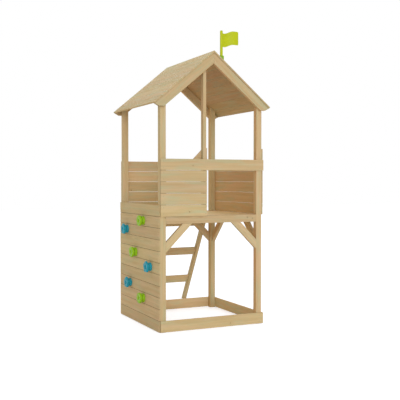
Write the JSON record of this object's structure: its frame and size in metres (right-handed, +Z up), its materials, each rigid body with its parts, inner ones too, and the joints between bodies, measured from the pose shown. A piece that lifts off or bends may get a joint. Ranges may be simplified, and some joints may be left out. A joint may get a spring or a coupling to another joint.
{
  "type": "wooden play tower",
  "caption": "Timber play tower with a boarded platform, gabled board roof, climbing wall, rear ladder, open den below and a flag.",
  "frame": {"origin": "on the ground, in the middle of the box that the whole tower fills, roof overhangs and ladder included", "axes": "+Z up; the doorway for a slide faces -Y, the ladder stands at +Y and the climbing wall is on the -X side"},
  "size_m": [1.366, 1.9902, 3.173],
  "materials": {
    "timber": "planed, pressure treated",
    "shaded_timber": "planed, pressure treated",
    "roof_boards": "planed, pressure treated",
    "green_plastic": "moulded, soft gloss",
    "blue_plastic": "moulded, soft gloss",
    "lime_plastic": "moulded, soft gloss",
    "socket_plastic": "moulded, soft gloss"
  },
  "bodies": {
    "root": {"front_left_post": "timber", "front_right_post": "timber", "rear_left_post": "timber", "rear_right_post": "timber", "front_door_post": "timber", "rear_door_post": "timber", "front_sill": "timber", "right_sill": "timber", "rear_sill": "shaded_timber", "front_beam": "timber", "rear_beam": "timber", "left_beam": "timber", "right_beam": "timber", "deck_joist": "timber", "platform_floor": "timber", "front_left_brace": "timber", "front_right_brace": "timber", "rear_left_brace": "timber", "rear_right_brace": "timber", "right_front_brace": "timber", "right_rear_brace": "timber", "door_post_grip": "timber", "right_post_grip": "timber", "climbing_wall": "timber", "front_top_rail": "timber", "front_board_1": "timber", "front_board_2": "timber", "front_board_3": "timber", "front_board_4": "timber", "right_board_1": "timber", "right_board_2": "timber", "right_board_3": "timber", "right_board_4": "timber", "right_board_5": "timber", "rear_board_1": "shaded_timber", "rear_board_2": "shaded_timber", "rear_board_3": "shaded_timber", "rear_board_4": "shaded_timber", "rear_board_5": "shaded_timber", "left_roof_slope": "roof_boards", "right_roof_slope": "roof_boards", "front_left_barge": "timber", "front_right_barge": "timber", "rear_left_barge": "timber", "rear_right_barge": "timber", "ladder_left_stile": "shaded_timber", "ladder_right_stile": "shaded_timber", "ladder_rung_1": "shaded_timber", "ladder_rung_2": "shaded_timber", "ladder_rung_3": "shaded_timber", "climbing_hold_1": "green_plastic", "climbing_hold_2": "blue_plastic", "climbing_hold_3": "green_plastic", "climbing_hold_4": "blue_plastic", "climbing_hold_5": "blue_plastic", "climbing_hold_6": "green_plastic", "flag_pole": "lime_plastic", "flag_socket": "socket_plastic", "flag": "lime_plastic"}
  },
  "joints": []
}
